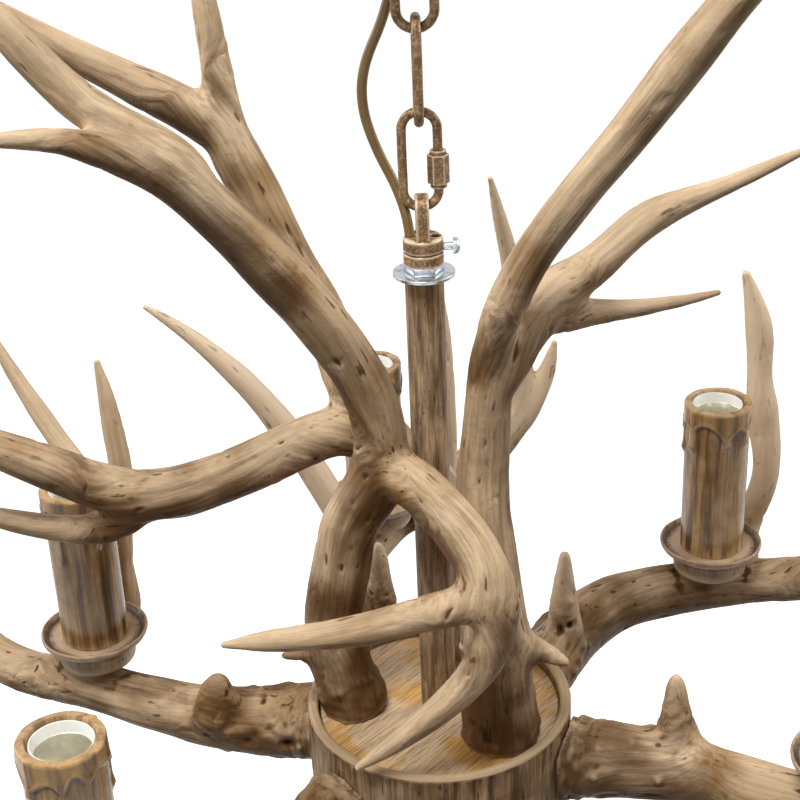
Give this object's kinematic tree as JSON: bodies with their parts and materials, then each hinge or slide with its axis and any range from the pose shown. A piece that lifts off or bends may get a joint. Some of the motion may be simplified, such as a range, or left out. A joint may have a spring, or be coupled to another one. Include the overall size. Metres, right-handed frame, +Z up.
{
  "type": "antler chandelier",
  "caption": "Chain-hung chandelier of cast antlers round a wood-grain drum and stem, with candle-sleeve lamp holders on drip dishes.",
  "frame": {"origin": "middle of the canopy's ceiling face", "axes": "+Z up, -Y to the front, +X to the viewer's right"},
  "size_m": [0.6319, 0.6362, 0.5322],
  "materials": {
    "antler_resin": "cast resin, tan with brown stain in its grooves, satin",
    "hub_resin": "cast resin with a stained wood grain, satin",
    "woodgrain_pipe": "steel tube painted with dark upright wood streaks",
    "antique_gold": "antique gold-brown paint, speckled",
    "zinc": "bright zinc plating",
    "brushed_gold": "gold-brown paint with a brushed grain",
    "dish_metal": "brown wood-tone paint",
    "candle_resin": "brown wax look with dark streaks and drips",
    "holder_white": "white moulded lamp holder",
    "brass_shell": "thin plated screw shell and contact",
    "black_bush": "black moulded bush",
    "cord_jacket": "gold-brown flexible jacket"
  },
  "bodies": {
    "canopy": {"canopy": "antique_gold", "ceiling_crossbar": "zinc", "canopy_screws": "antique_gold", "hanging_loop": "antique_gold", "loop_lock_nut": "zinc", "canopy_grommet": "black_bush"},
    "upper_link": {"upper_link": "antique_gold"},
    "fixture": {"loop_cap": "antique_gold", "cap_screw": "zinc", "cap_nut": "zinc", "stem_washer": "zinc", "stem_pipe": "woodgrain_pipe", "threaded_rod": "zinc", "drum": "hub_resin", "top_plate": "brushed_gold", "bottom_plate": "brushed_gold", "bottom_washer": "zinc", "bottom_nut": "antique_gold", "arm_studs": "zinc", "arm_nuts": "zinc", "upper_antler_left": "antler_resin", "upper_antler_right": "antler_resin", "upper_antler_rear": "antler_resin", "antler_screws": "zinc", "candle_stems": "zinc", "screw_shells": "brass_shell", "centre_contacts": "brass_shell", "supply_cord": "cord_jacket", "arm_antler_1": "antler_resin", "drip_dish_1": "dish_metal", "lamp_holder_1": "holder_white", "arm_antler_2": "antler_resin", "drip_dish_2": "dish_metal", "lamp_holder_2": "holder_white", "arm_antler_3": "antler_resin", "drip_dish_3": "dish_metal", "lamp_holder_3": "holder_white", "arm_antler_4": "antler_resin", "drip_dish_4": "dish_metal", "lamp_holder_4": "holder_white", "arm_antler_5": "antler_resin", "drip_dish_5": "dish_metal", "lamp_holder_5": "holder_white", "arm_antler_6": "antler_resin", "drip_dish_6": "dish_metal", "lamp_holder_6": "holder_white"},
    "middle_link": {"middle_link": "antique_gold"},
    "quick_link": {"quick_link": "antique_gold"},
    "quick_link_nut": {"quick_link_nut": "antique_gold"},
    "candle_sleeve_1": {"candle_sleeve_1": "candle_resin"},
    "candle_sleeve_2": {"candle_sleeve_2": "candle_resin"},
    "candle_sleeve_3": {"candle_sleeve_3": "candle_resin"},
    "candle_sleeve_4": {"candle_sleeve_4": "candle_resin"},
    "candle_sleeve_5": {"candle_sleeve_5": "candle_resin"},
    "candle_sleeve_6": {"candle_sleeve_6": "candle_resin"}
  },
  "joints": [
    {"name": "swing_sideways", "type": "hinge", "parent": "canopy", "child": "upper_link", "pos_m": [0, 0, -0.0512], "axis": [0, 1, 0], "range_deg": [-12, 12], "deforming": ["supply_cord"]},
    {"name": "swing_front_back", "type": "hinge", "parent": "upper_link", "child": "fixture", "pos_m": [0, 0, -0.0934], "axis": [1, 0, 0], "range_deg": [-12, 12], "deforming": ["supply_cord"]},
    {"name": "middle_link_turn", "type": "hinge", "parent": "fixture", "child": "middle_link", "pos_m": [0, 0, -0.0885], "axis": [0, 0, 1], "range_deg": [-8, 8]},
    {"name": "quick_link_turn", "type": "hinge", "parent": "fixture", "child": "quick_link", "pos_m": [0, 0, -0.13105], "axis": [0, 0, 1], "range_deg": [-6, 6]},
    {"name": "quick_nut_travel", "type": "slide", "parent": "quick_link", "child": "quick_link_nut", "axis": [0, 0, 1], "range_m": [0, 0.007]},
    {"name": "candle_sleeve_1_lift", "type": "slide", "parent": "fixture", "child": "candle_sleeve_1", "axis": [0, 0, 1], "range_m": [0, 0.1]},
    {"name": "candle_sleeve_2_lift", "type": "slide", "parent": "fixture", "child": "candle_sleeve_2", "axis": [0, 0, 1], "range_m": [0, 0.1]},
    {"name": "candle_sleeve_3_lift", "type": "slide", "parent": "fixture", "child": "candle_sleeve_3", "axis": [0, 0, 1], "range_m": [0, 0.1]},
    {"name": "candle_sleeve_4_lift", "type": "slide", "parent": "fixture", "child": "candle_sleeve_4", "axis": [0, 0, 1], "range_m": [0, 0.1]},
    {"name": "candle_sleeve_5_lift", "type": "slide", "parent": "fixture", "child": "candle_sleeve_5", "axis": [0, 0, 1], "range_m": [0, 0.1]},
    {"name": "candle_sleeve_6_lift", "type": "slide", "parent": "fixture", "child": "candle_sleeve_6", "axis": [0, 0, 1], "range_m": [0, 0.1]}
  ]
}
